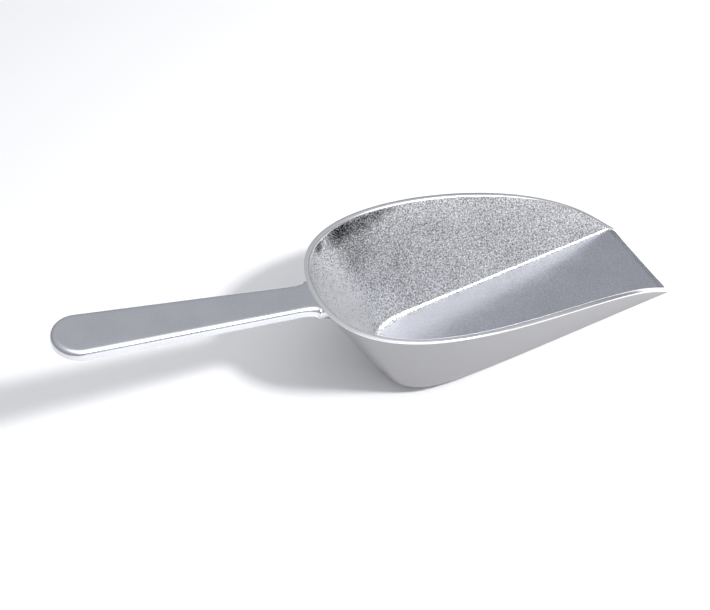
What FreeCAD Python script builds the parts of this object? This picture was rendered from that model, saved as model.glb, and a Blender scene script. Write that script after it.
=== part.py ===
"""Cast-aluminium ice scoop, 254 mm long, resting on its flat floor.

The scoop is one casting: a flat-bottomed bowl that is open at the front, and a
flat handle that rises from the rear rim. Here the casting is cut into the zones
that a caster would name, one solid per zone, which meet face to face.

Frame: +X towards the front edge, +Y to the left, +Z up. The origin is midway
along the whole length, on the middle plane, at the face that the scoop rests on.
All lengths are in millimetres.
"""
import FreeCAD, Part
import math
import os

Vector = FreeCAD.Vector

# ---- driving dimensions -------------------------------------------------------
OVERALL_LENGTH = 254.0      # handle end to front edge
BOWL_LENGTH = 154.0         # rear of the rim to front edge
RIM_HEIGHT = 60.5           # top of the rim at the rear
WALL = 2.3                  # wall thickness
FLOOR_THICKNESS = 3.0
FLOOR_HALF_WIDTH = 23.4     # the floor's sides are parallel
FLOOR_REAR_INSET = 22.8     # rear of the floor, ahead of the rear of the rim
FLOOR_BLUNTNESS = 3.1       # exponent of the superellipse at the floor's rear
ROUND_END = 50.0            # the floor's rounded rear ends this far ahead of the rim's rear
SIDE_LEAN = 0.5             # sideways run of a side wall for each millimetre up
EDGE_HEIGHT = 1.6           # outer height of the walls at the front corners
HEEL_REAR = 16.0            # outside round between wall and floor, at the rear
HEEL_SIDE = 3.0             # the same along the front half of the sides
FILLET_REAR = 9.0           # inside round between wall and floor, at the rear
FILLET_SIDE = 3.0           # the same along the front half of the sides
HEEL_FADE = 86.0            # both rounds have shrunk to their side values this far from the rear
REAR_SEAM = 12.0            # floor seam to the floor's outer outline, at the rear
SIDE_SEAM = 8.0             # the same along the sides
SEAM_BLUNTNESS = 2.4        # exponent of the superellipse at the seam's rear
RIM_BAND = 3.0              # depth of the polished band along the rim
LIP_LENGTH = 6.0            # bevelled strip along the front edge
BEVEL_LENGTH = 3.0
BEVEL_EDGE = 1.4            # thickness left at the front edge

HANDLE_RISE = 17.5          # degrees above level
HANDLE_THICKNESS = 4.4
HANDLE_ROOT_HALF = 7.85     # half width where the handle's sides would meet the rim
HANDLE_END_HALF = 11.3      # half width at the start of the rounded end
HANDLE_END_LENGTH = 10.4    # length of the rounded end
SHOULDER = 2.2              # round along the handle's upper edges
LOWER_ROUND = 0.8           # round along the handle's lower edges
NECK_LENGTH = 16.0
NECK_FLARE = 4.5            # round where the handle's sides run into the bowl
NECK_ROUND = 14.0           # round under the handle where it runs into the rear wall
POCKET_DEPTH = 1.8          # shallow relief cast into the underside of the grip
POCKET_BORDER = 3.2

FOOT_TAPER = 0.6            # how far the neck's sides draw in for each millimetre down

# ---- how the shapes are drawn ---------------------------------------------------
REAR_STATIONS = 10          # wall sections from the rear to the end of the round
SIDE_STATIONS = 14          # wall sections along one straight side
OUTLINE_STEPS = 24          # points round the floor's rear
END_STEPS = 12              # points round the grip's end
NECK_STEPS = 14             # steps between neck sections, shorter towards the bowl
NECK_CROWDING = 1.3
CORE_DEPTH = 8.0            # depth of the solid that the neck's inner end is cut to
BAND_SHARE = 0.45           # most of a low wall that the rim band may take
ROUND_SHARE = 0.85          # most of a low wall that the heel or the fillet may take
LEAST_RISE = 0.2            # inner wall left above the floor at the front corners
OVERLAP = 1.0               # how far a blank runs into what cuts it
TOUCH = 0.01                # points this close are at one level

# ---- places worked out from them ----------------------------------------------
X_FRONT = OVERALL_LENGTH / 2
X_RIM = X_FRONT - BOWL_LENGTH
X_ROUND = X_RIM + ROUND_END
FLOOR_REAR_RUN = ROUND_END - FLOOR_REAR_INSET
RISE = math.radians(HANDLE_RISE)
HANDLE_REACH = OVERALL_LENGTH - BOWL_LENGTH
# The rounded lower edge of the sloping handle's end is the scoop's rearmost point.
LOWER_DROP = (HANDLE_THICKNESS - LOWER_ROUND) * math.sin(RISE)
HANDLE_RUN = LOWER_ROUND + (HANDLE_REACH - LOWER_ROUND - LOWER_DROP) / math.cos(RISE)
# In the handle's own axes the rear wall runs down and away from the rim at this
# angle, so the round under the handle starts at NECK_ROUND_START and ends at NECK_FOOT.
WALL_SLOPE = math.atan2(FLOOR_REAR_INSET, RIM_HEIGHT) + RISE
NECK_TANGENT = NECK_ROUND * math.tan(math.pi / 4 - WALL_SLOPE / 2)
NECK_ROUND_START = NECK_TANGENT - HANDLE_THICKNESS * math.tan(WALL_SLOPE)
NECK_FOOT = NECK_ROUND_START - NECK_TANGENT * (1 + math.sin(WALL_SLOPE))

# Control points of the rim's outer edge on the left, from the rear to the front
# corner: distance ahead of the rim's rear, half width, height.
RIM_CONTROLS = [
    (0.0, 0.0, RIM_HEIGHT),
    (0.0, 75.5, RIM_HEIGHT + 0.5),
    (114.5, 37.0, 42.0),
    (133.0, 36.3, 24.3),
    (BOWL_LENGTH, FLOOR_HALF_WIDTH + SIDE_LEAN * EDGE_HEIGHT, EDGE_HEIGHT),
]


def rim_point(u):
    """Point of the rim's outer edge, u = 0 at the rear and 1 at the left front corner."""
    degree = len(RIM_CONTROLS) - 1
    total = Vector(X_RIM, 0, 0)
    for i, control in enumerate(RIM_CONTROLS):
        weight = math.comb(degree, i) * (1 - u) ** (degree - i) * u ** i
        total += Vector(*control) * weight
    return total


def round_radius(direction, run, half, bluntness):
    """Distance in plan from the round's centre to a superellipse, run long and half wide."""
    along = abs(direction.x) / run
    across = abs(direction.y) / half
    return (along ** bluntness + across ** bluntness) ** (-1 / bluntness)


def floor_radius(direction):
    """Distance from the round's centre to the floor's outer outline."""
    return round_radius(direction, FLOOR_REAR_RUN, FLOOR_HALF_WIDTH, FLOOR_BLUNTNESS)


def seam_radius(direction):
    """Distance from the round's centre to the seam between floor and walls."""
    run = FLOOR_REAR_RUN - REAR_SEAM
    return round_radius(direction, run, FLOOR_HALF_WIDTH - SIDE_SEAM, SEAM_BLUNTNESS)


def u_at_x(x):
    """The rim parameter at which the rim reaches x, by halving."""
    low = 0.0
    high = 1.0
    for _ in range(50):
        middle = (low + high) / 2
        if rim_point(middle).x < x:
            low = middle
        else:
            high = middle
    return (low + high) / 2


class Station:
    """One upright section through the wall, drawn in (outward, up) coordinates.

    Behind the end of the round the sections fan out from its centre, and ahead
    of it they are square to the middle plane. side is 1 on the left, -1 on the right.
    """

    def __init__(self, u, side=1):
        rim = rim_point(abs(u))
        if rim.x < X_ROUND - 1e-6:
            self.foot = Vector(X_ROUND, 0, 0)
            outward = Vector(rim.x - X_ROUND, rim.y, 0)
            self.rim_out = outward.Length
            outward.normalize()
            self.floor_out = floor_radius(outward)
            self.seam_out = seam_radius(outward)
        else:
            self.foot = Vector(rim.x, 0, 0)
            outward = Vector(0, 1, 0)
            self.rim_out = rim.y
            self.floor_out = FLOOR_HALF_WIDTH
            self.seam_out = FLOOR_HALF_WIDTH - SIDE_SEAM
        self.outward = Vector(outward.x, outward.y * side, 0)
        self.rim_up = rim.z
        run = self.rim_out - self.floor_out
        self.slant = math.hypot(run, self.rim_up)
        self.along = (run / self.slant, self.rim_up / self.slant)
        self.inward = (-self.along[1], self.along[0])
        share = max(1 - (rim.x - X_RIM) / HEEL_FADE, 0.0)
        rear_share = share * share * (3 - 2 * share)
        self.heel = HEEL_SIDE + (HEEL_REAR - HEEL_SIDE) * rear_share
        self.fillet = FILLET_SIDE + (FILLET_REAR - FILLET_SIDE) * rear_share

    def place(self, out, up):
        return self.foot + self.outward * out + Vector(0, 0, up)

    def outer(self, distance):
        """Point on the wall's outer line, measured up the slant from the floor."""
        return (self.floor_out + self.along[0] * distance, self.along[1] * distance)

    def inner(self, distance, depth=WALL):
        """The same point, depth inside the wall's outer face."""
        out, up = self.outer(distance)
        return (out + self.inward[0] * depth, up + self.inward[1] * depth)

    def band_depth(self):
        return min(RIM_BAND, BAND_SHARE * self.slant)

    def wire(self, corners, arcs):
        """Closed wire through corners; arcs maps an edge's number to its middle point."""
        points = [self.place(*corner) for corner in corners]
        edges = []
        for i, start in enumerate(points):
            end = points[(i + 1) % len(points)]
            if i in arcs:
                edges.append(Part.Arc(start, self.place(*arcs[i]), end).toShape())
            else:
                edges.append(Part.makeLine(start, end))
        return Part.Wire(edges)

    def wall_wire(self):
        """The wall's section below the rim band, with its foot on the floor's level."""
        lean = math.atan2(self.along[0], self.along[1])
        half_turn = (math.pi / 2 - lean) / 2
        reach = math.tan(half_turn)
        top = self.slant - self.band_depth()
        heel = min(self.heel, ROUND_SHARE * top / reach)
        rise = (FLOOR_THICKNESS - self.inner(0)[1]) / self.along[1]
        fillet = min(self.fillet, ROUND_SHARE * max(top - rise, LEAST_RISE) / reach)
        corner = self.inner(rise)
        seam = self.seam_out - OVERLAP
        bulge = 1 / math.cos(half_turn) - 1
        heel_middle = self.round_middle((self.floor_out, 0), half_turn, heel * bulge)
        fillet_middle = self.round_middle(corner, half_turn, fillet * bulge)
        corners = [
            (seam, 0),
            (self.floor_out - heel * reach, 0),
            self.outer(heel * reach),
            self.outer(top),
            self.inner(top),
            self.inner(rise + fillet * reach),
            (corner[0] - fillet * reach, FLOOR_THICKNESS),
            (seam, FLOOR_THICKNESS),
        ]
        return self.wire(corners, {1: heel_middle, 5: fillet_middle})

    def round_middle(self, corner, half_turn, distance):
        """Middle of a round between floor and wall, distance in and up from the sharp corner."""
        angle = math.pi / 2 + half_turn
        return (corner[0] + distance * math.cos(angle), corner[1] + distance * math.sin(angle))

    def band_wire(self):
        """The polished band's section, square to the wall."""
        low = self.slant - self.band_depth()
        corners = [self.outer(low), self.outer(self.slant), self.inner(self.slant), self.inner(low)]
        return self.wire(corners, {})

    def core_wire(self):
        """A section as tall as wall and band, but much deeper: it shapes the neck's inner end."""
        corners = [
            self.outer(0),
            self.outer(self.slant),
            self.inner(self.slant, CORE_DEPTH),
            self.inner(0, CORE_DEPTH),
        ]
        return self.wire(corners, {})


def spread(start, end, count):
    return [start + (end - start) * i / (count - 1) for i in range(count)]


U_ROUND = u_at_x(X_ROUND)
REAR_US = spread(0.0, U_ROUND, REAR_STATIONS)
SIDE_US = spread(U_ROUND, 1.0, SIDE_STATIONS)


def round_the_rear(us):
    """Stations from the right-hand end, round the rear, to the left-hand end."""
    right = [Station(u, -1) for u in reversed(us[1:])]
    left = [Station(u, 1) for u in us]
    return right + left


def loft(wires):
    return Part.makeLoft(wires, True, False)


def seam_outline():
    """Face inside the seam between floor and walls, in plan."""
    half = FLOOR_HALF_WIDTH - SIDE_SEAM
    points = []
    for step in range(OUTLINE_STEPS + 1):
        angle = math.pi * (1.5 - step / OUTLINE_STEPS)
        direction = Vector(math.cos(angle), math.sin(angle), 0)
        points.append(Vector(X_ROUND, 0, 0) + direction * seam_radius(direction))
    curve = Part.BSplineCurve()
    curve.interpolate(points)
    start = points[0]
    end = points[-1]
    corner_left = Vector(X_FRONT, half, 0)
    corner_right = Vector(X_FRONT, -half, 0)
    edges = [curve.toShape()]
    edges.append(Part.makeLine(end, corner_left))
    edges.append(Part.makeLine(corner_left, corner_right))
    edges.append(Part.makeLine(corner_right, start))
    return Part.Face(Part.Wire(edges))


def bevel_cutter():
    """Wedge above the front edge's bevel, between the tips of the side walls."""
    half = FLOOR_HALF_WIDTH - OVERLAP
    over = OVERLAP
    slope = (FLOOR_THICKNESS - BEVEL_EDGE) / BEVEL_LENGTH
    points = [
        Vector(X_FRONT - BEVEL_LENGTH, -half, FLOOR_THICKNESS),
        Vector(X_FRONT + over, -half, BEVEL_EDGE - slope * over),
        Vector(X_FRONT + over, -half, FLOOR_THICKNESS + over),
        Vector(X_FRONT - BEVEL_LENGTH, -half, FLOOR_THICKNESS + over),
    ]
    return Part.Face(Part.makePolygon(points + points[:1])).extrude(Vector(0, 2 * half, 0))


def slab(x_low, x_high):
    """Block that is far wider and taller than the floor, between two places along it."""
    size = OVERALL_LENGTH
    return Part.makeBox(x_high - x_low, size, size, Vector(x_low, -size / 2, -size / 2))


# ---- the bowl -------------------------------------------------------------------
def make_floor(plate):
    return plate.common(slab(X_RIM, X_FRONT - LIP_LENGTH))


def make_front_lip(plate):
    return plate.common(slab(X_FRONT - LIP_LENGTH, X_FRONT + OVERLAP)).cut(bevel_cutter())


def make_rear_wall(plate):
    wall = loft([station.wall_wire() for station in round_the_rear(REAR_US)])
    return wall.cut(plate)


def make_left_wall(plate):
    wall = loft([Station(u).wall_wire() for u in SIDE_US])
    return wall.cut(plate).cut(bevel_cutter())


def make_rim_band():
    stations = round_the_rear(REAR_US + SIDE_US[1:])
    return loft([station.band_wire() for station in stations])


# ---- the handle -------------------------------------------------------------------
def handle_frame():
    """Placement of the handle's own axes: X along it outwards, Z square to its top."""
    along = Vector(-math.cos(RISE), 0, math.sin(RISE))
    square = Vector(math.sin(RISE), 0, math.cos(RISE))
    across = square.cross(along)
    turn = FreeCAD.Rotation(along, across, square, "XYZ")
    return FreeCAD.Placement(Vector(X_RIM, 0, RIM_HEIGHT), turn)


def handle_half(distance):
    """Half width of the handle, distance along it from the rim."""
    straight = HANDLE_RUN - HANDLE_END_LENGTH
    return HANDLE_ROOT_HALF + (HANDLE_END_HALF - HANDLE_ROOT_HALF) * distance / straight


def grip_face(inset):
    """The grip's outline from the neck to the rounded end, set in by inset."""
    start = NECK_LENGTH + inset
    straight = HANDLE_RUN - HANDLE_END_LENGTH
    root = handle_half(start) - inset
    end = HANDLE_END_HALF - inset
    tip = HANDLE_RUN - inset
    edges = [
        Part.makeLine(Vector(start, root, 0), Vector(straight, end, 0)),
        end_curve(straight, tip, end),
        Part.makeLine(Vector(straight, -end, 0), Vector(start, -root, 0)),
        Part.makeLine(Vector(start, -root, 0), Vector(start, root, 0)),
    ]
    return Part.Face(Part.Wire(edges))


def end_curve(straight, tip, half):
    """Half ellipse round the end of the grip, as one smooth curve."""
    points = []
    for step in range(END_STEPS + 1):
        angle = math.pi * (0.5 - step / END_STEPS)
        points.append(Vector(straight + (tip - straight) * math.cos(angle), half * math.sin(angle), 0))
    curve = Part.BSplineCurve()
    curve.interpolate(points)
    return curve.toShape()


def round_edges(solid, radius, level):
    """Round the edges that lie wholly at one level, apart from those across the handle."""
    chosen = []
    for edge in solid.Edges:
        box = edge.BoundBox
        is_level = abs(box.ZMin - level) < TOUCH and abs(box.ZMax - level) < TOUCH
        if is_level and box.XLength > HANDLE_THICKNESS:
            chosen.append(edge)
    return solid.makeFillet(radius, chosen)


def make_grip():
    body = grip_face(0.0).extrude(Vector(0, 0, -HANDLE_THICKNESS))
    body = round_edges(body, SHOULDER, 0.0)
    body = round_edges(body, LOWER_ROUND, -HANDLE_THICKNESS)
    pocket = grip_face(POCKET_BORDER).extrude(Vector(0, 0, POCKET_DEPTH))
    pocket.translate(Vector(0, 0, -HANDLE_THICKNESS))
    body = body.cut(pocket)
    body.Placement = handle_frame()
    return body


def neck_section(distance, half, depth, foot_half):
    """Section across the neck: rounded upper edges, and sides that draw in to the foot."""
    mid = SHOULDER * (1 - math.sqrt(0.5))
    left = [
        (half - SHOULDER, 0),
        (half - mid, -mid),
        (half, -SHOULDER),
        (half, LOWER_ROUND - HANDLE_THICKNESS),
        (foot_half, -depth),
    ]
    left = [Vector(distance, across, up) for across, up in left]
    right = [Vector(point.x, -point.y, point.z) for point in left]
    edges = [
        Part.makeLine(right[0], left[0]),
        Part.Arc(left[0], left[1], left[2]).toShape(),
        Part.makeLine(left[2], left[3]),
        Part.makeLine(left[3], left[4]),
        Part.makeLine(left[4], right[4]),
        Part.makeLine(right[4], right[3]),
        Part.makeLine(right[3], right[2]),
        Part.Arc(right[2], right[1], right[0]).toShape(),
    ]
    return Part.Wire(edges)


def flare(distance):
    """Concave quarter round: 1 at the face it runs into, 0 from one radius away."""
    nearness = min(max(1 - distance, 0.0), 1.0)
    return 1 - math.sqrt(1 - nearness ** 2)


def make_neck():
    """The root of the handle, flared into the outside of the rear wall and rim."""
    sections = []
    for i in range(NECK_STEPS + 1):
        share = (1 - i / NECK_STEPS) ** NECK_CROWDING
        distance = NECK_FOOT + (NECK_LENGTH - NECK_FOOT) * share
        half = handle_half(distance) + NECK_FLARE * flare(distance / NECK_FLARE)
        into_round = max(NECK_ROUND_START - distance, 0.0)
        deeper = NECK_ROUND - math.sqrt(NECK_ROUND ** 2 - into_round ** 2)
        depth = HANDLE_THICKNESS + deeper
        foot_half = half - LOWER_ROUND - FOOT_TAPER * deeper
        sections.append(neck_section(distance, half, depth, foot_half))
    body = Part.makeLoft(sections, True, True)
    body.Placement = handle_frame()
    core = loft([station.core_wire() for station in round_the_rear(REAR_US)])
    return body.cut(core)


def build():
    plate = seam_outline().extrude(Vector(0, 0, FLOOR_THICKNESS))
    left_wall = make_left_wall(plate)
    return {
        "bowl_floor": make_floor(plate),
        "front_lip": make_front_lip(plate),
        "rear_wall": make_rear_wall(plate),
        "left_wall": left_wall,
        "right_wall": left_wall.mirror(Vector(0, 0, 0), Vector(0, 1, 0)),
        "rim_band": make_rim_band(),
        "handle_neck": make_neck(),
        "handle_grip": make_grip(),
    }


os.makedirs("parts", exist_ok=True)
for node, shape in build().items():
    shape.exportStep("parts/" + node + ".step")
    box = shape.BoundBox
    spans = [(box.XMin, box.XMax), (box.YMin, box.YMax), (box.ZMin, box.ZMax)]
    size = " ".join("%.1f..%.1f" % span for span in spans)
    print(node, len(shape.Solids), "solid", round(shape.Volume / 1000, 3), "cm3", size)
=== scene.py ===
"""Cast-aluminium ice scoop: finer meshes, metal finishes and a small studio stage.

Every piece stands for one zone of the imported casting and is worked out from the
same driving sizes: upright sections through the bowl, and sections square to the
handle. Lengths are in metres; +X is the front, +Y the left and +Z up.
"""

import math
from functools import partial

import bmesh
import bpy
from bpy.props import FloatProperty, FloatVectorProperty, PointerProperty
from mathutils import Matrix, Vector


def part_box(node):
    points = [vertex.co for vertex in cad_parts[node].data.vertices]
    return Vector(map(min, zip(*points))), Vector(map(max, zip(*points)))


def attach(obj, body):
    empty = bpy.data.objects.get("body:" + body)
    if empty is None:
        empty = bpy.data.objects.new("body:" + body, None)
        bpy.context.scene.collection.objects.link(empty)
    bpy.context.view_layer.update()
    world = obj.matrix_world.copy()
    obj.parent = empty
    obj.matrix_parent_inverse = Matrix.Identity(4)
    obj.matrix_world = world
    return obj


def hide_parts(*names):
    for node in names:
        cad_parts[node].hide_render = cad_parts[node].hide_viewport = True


bl_info = {
    "name": "Ice scoop",
    "version": (1, 0, 0),
    "blender": (4, 5, 0),
    "location": "3D View > Sidebar > Scoop",
    "description": "Builds a cast-aluminium ice scoop with its metal finishes and a small studio stage",
    "category": "Object",
}

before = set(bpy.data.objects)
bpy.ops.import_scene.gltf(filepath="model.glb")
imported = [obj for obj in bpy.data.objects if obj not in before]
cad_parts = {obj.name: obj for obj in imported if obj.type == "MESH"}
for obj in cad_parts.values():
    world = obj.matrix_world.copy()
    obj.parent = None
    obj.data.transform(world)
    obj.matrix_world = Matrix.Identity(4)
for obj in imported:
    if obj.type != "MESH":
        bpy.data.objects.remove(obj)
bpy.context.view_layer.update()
FRONT_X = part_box("front_lip")[1].x
RIM_REAR_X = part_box("rim_band")[0].x
HANDLE_END_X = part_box("handle_grip")[0].x
FLOOR_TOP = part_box("bowl_floor")[1].z
FLOOR_PLATE_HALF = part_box("bowl_floor")[1].y
LIP_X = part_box("front_lip")[0].x
MM = 0.001
BODY = "root"


# ---- sizes, finishes and stage settings ------------------------------------------
def length(name, text, default):
    return FloatProperty(name=name, description=text, default=default, min=0.0, precision=5, unit="LENGTH")


def colour(name, text, default):
    return FloatVectorProperty(
        name=name, description=text, default=default, size=3, min=0, max=1, subtype="COLOR")


class ScoopSizes(bpy.types.PropertyGroup):
    """Sizes of the casting that a maker would change."""

    rim_height: length("Rim height", "Top of the rim at the rear", 60.5 * MM)
    rim_swell: length("Rim swell", "How far the rim curve's second control stands above the rear", 0.5 * MM)
    wall: length("Wall", "Thickness of the bowl's wall", 2.3 * MM)
    side_seam: length("Side seam", "Floor plate's edge to the bowl's outer foot along the sides", 8.0 * MM)
    rear_seam: length("Rear seam", "The same at the rear", 12.0 * MM)
    seam_bluntness: FloatProperty(
        name="Seam bluntness", description="Exponent of the floor plate's rounded rear",
        default=2.4, min=2.0)
    floor_rear_inset: length("Floor inset", "Rear of the floor ahead of the rear of the rim", 22.8 * MM)
    round_end: length(
        "Round end", "Where the floor's rounded rear ends, ahead of the rim's rear", 50.0 * MM)
    floor_bluntness: FloatProperty(
        name="Floor bluntness", description="Exponent of the floor's rounded rear", default=3.1, min=2.0)
    side_lean: FloatProperty(
        name="Side lean", description="Sideways run of a side wall for its height", default=0.5, min=0.0)
    edge_height: length("Edge height", "Height of the walls at the front corners", 1.6 * MM)
    heel_rear: length("Rear heel", "Outside round between wall and floor at the rear", 16.0 * MM)
    heel_side: length("Side heel", "Outside round between wall and floor along the front half", 3.0 * MM)
    fillet_rear: length("Rear fillet", "Inside round between wall and floor at the rear", 3.5 * MM)
    fillet_side: length("Side fillet", "Inside round between wall and floor along the front half", 1.6 * MM)
    heel_fade: length("Heel fade", "Distance from the rear over which both rounds shrink", 86.0 * MM)
    bevel_length: length("Bevel length", "Ground bevel along the front edge", 3.0 * MM)
    bevel_edge: length("Bevel edge", "Thickness left at the front edge", 1.4 * MM)
    rim_depth: length("Rim depth", "Depth of the polished rim", 3.0 * MM)
    rim_slant: FloatProperty(
        name="Rim slant", description="Tilt of the rim's land towards the inside, from square to the wall",
        default=math.radians(16), unit="ROTATION")
    rim_inner_round: length("Rim inner round", "Round on the rim's inner edge", 1.5 * MM)
    rim_outer_round: length("Rim outer round", "Break on the rim's outer edge", 0.35 * MM)
    handle_rise: FloatProperty(
        name="Handle rise", description="Slope of the handle above level",
        default=math.radians(17.5), unit="ROTATION")
    handle_thickness: length("Handle thickness", "Thickness of the handle", 4.4 * MM)
    handle_root_half: length("Handle root", "Half width of the handle at the rim", 7.85 * MM)
    handle_end_half: length("Handle end", "Half width of the handle before its rounded end", 11.3 * MM)
    handle_end_length: length("Rounded end", "Length of the handle's rounded end", 10.4 * MM)
    shoulder: length("Shoulder", "Round along the handle's upper edges", 2.2 * MM)
    lower_round: length("Lower round", "Round along the handle's lower edges", 0.8 * MM)
    neck_length: length("Neck length", "Length of the handle's root", 16.0 * MM)
    neck_flare: length(
        "Neck flare", "How far the handle's sides spread where they run into the bowl", 2.2 * MM)
    neck_flare_run: length("Neck flare run", "Length of that spread along the handle", 7.0 * MM)
    neck_round: length("Neck round", "Round under the handle where it meets the rear wall", 14.0 * MM)
    foot_taper: FloatProperty(
        name="Foot taper", description="How fast the neck's sides draw in downwards", default=0.6, min=0.0)
    pocket_depth: length("Pocket depth", "Shallow relief under the grip", 1.8 * MM)
    pocket_border: length("Pocket border", "Border left round the relief", 3.2 * MM)


class ScoopFinish(bpy.types.PropertyGroup):
    """Colours and surface sizes of the metal."""

    cast_colour: colour("Cast colour", "Metal of the blasted inside of the walls", (0.60, 0.60, 0.615))
    floor_colour: colour("Floor colour", "Metal of the satin floor", (0.57, 0.585, 0.63))
    outside_colour: colour("Outside colour", "Metal of the outside of the bowl", (0.35, 0.35, 0.365))
    rim_colour: colour("Rim colour", "Polished metal of the rim", (0.93, 0.93, 0.935))
    handle_colour: colour("Handle colour", "Metal of the handle", (0.74, 0.75, 0.785))
    cast_grain: length("Cast grain", "Size of the coarse grain inside the walls", 0.55 * MM)
    satin_grain: length("Satin grain", "Size of the fine grain on satin faces", 0.45 * MM)
    scratch_spacing: length("Scratch spacing", "Typical distance between handling marks", 7.0 * MM)


class ScoopStage(bpy.types.PropertyGroup):
    """Camera and light of the studio stage."""

    azimuth: FloatProperty(name="Azimuth", description="Camera's turn about the upright", unit="ROTATION",
                           default=math.radians(-14.4))
    elevation: FloatProperty(name="Elevation", description="Camera's height above level", unit="ROTATION",
                             default=math.radians(46.8))
    roll: FloatProperty(name="Roll", description="Camera's turn about its own axis", unit="ROTATION",
                        default=math.radians(11.5))
    distance: length("Distance", "Camera to its aim", 493.4 * MM)
    aim: FloatVectorProperty(name="Aim", description="Point that the camera looks at", unit="LENGTH",
                             default=(-6.8 * MM, 13.8 * MM, 30.0 * MM))
    focal: FloatProperty(name="Focal length", description="Lens in millimetres", default=57.9,
                         subtype="DISTANCE_CAMERA")
    softbox_size: length("Softbox", "Side of the overhead softbox", 1.5)
    softbox_height: length("Softbox height", "Softbox above the floor", 1.1)
    softbox_power: FloatProperty(name="Softbox power", description="Watts", default=5.0, unit="POWER")
    key_size: length("Key lamp", "Side of the key lamp, to the camera's right", 0.11)
    key_distance: length("Key distance", "Key lamp to the scoop", 1.2)
    key_power: FloatProperty(name="Key power", description="Watts", default=12.0, unit="POWER")
    floor_colour: colour("Table colour", "Pale tabletop", (0.92, 0.92, 0.92))


# ---- the bowl's surface ------------------------------------------------------------
SAME_PLACE = 1e-9
HALVINGS = 40
# The most of a low wall's slant that the rim may take, near the front corners.
RIM_SHARE = 0.45


def smooth_step(value):
    value = min(max(value, 0.0), 1.0)
    return value * value * (3 - 2 * value)


def round_radius(direction, run, half, bluntness):
    """Distance in plan from the centre to a superellipse, run long and half wide."""
    along = abs(direction.x) / run
    across = abs(direction.y) / half
    return (along ** bluntness + across ** bluntness) ** (-1 / bluntness)


class Section:
    """One upright section through the wall, in (outward, up) coordinates.

    Behind the end of the round the sections fan out from its centre; ahead of it
    they are square to the middle plane. side is 1 on the left, -1 on the right.
    """

    def __init__(self, bowl, rim, side):
        sizes = bowl.sizes
        if rim.x < bowl.round_x - SAME_PLACE:
            self.foot = Vector((bowl.round_x, 0, 0))
            outward = Vector((rim.x - bowl.round_x, rim.y, 0))
            self.rim_out = outward.length
            outward.normalize()
            self.floor_out = bowl.floor_radius(outward)
            self.seam_out = bowl.seam_radius(outward)
        else:
            self.foot = Vector((rim.x, 0, 0))
            outward = Vector((0, 1, 0))
            self.rim_out = rim.y
            self.floor_out = bowl.floor_half
            self.seam_out = FLOOR_PLATE_HALF
        self.outward = Vector((outward.x, outward.y * side, 0))
        run = self.rim_out - self.floor_out
        self.slant = math.hypot(run, rim.z)
        self.along = Vector((run, rim.z)) / self.slant
        self.inward = Vector((-self.along.y, self.along.x))
        self.lean = math.atan2(self.along.x, self.along.y)
        self.reach = math.tan((math.pi / 2 - self.lean) / 2)
        self.wall = sizes.wall
        slope = (FLOOR_TOP - sizes.bevel_edge) / sizes.bevel_length
        self.floor_top = FLOOR_TOP - slope * max(0.0, rim.x - (FRONT_X - sizes.bevel_length))
        self.rim_depth = min(sizes.rim_depth, RIM_SHARE * self.slant)
        rear_share = smooth_step(1 - (rim.x - RIM_REAR_X) / sizes.heel_fade)
        self.heel = sizes.heel_side + (sizes.heel_rear - sizes.heel_side) * rear_share
        self.fillet = sizes.fillet_side + (sizes.fillet_rear - sizes.fillet_side) * rear_share

    def place(self, point):
        return self.foot + self.outward * point.x + Vector((0, 0, point.y))

    def outer(self, distance):
        """Point on the wall's outer line, measured up the slant from the floor."""
        return Vector((self.floor_out, 0)) + self.along * distance

    def inner(self, distance):
        return self.outer(distance) + self.inward * self.wall

    def depth(self, out, up):
        """How far a point lies inside the wall's outer face."""
        return (Vector((out, up)) - self.outer(0)).dot(self.inward)


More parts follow.
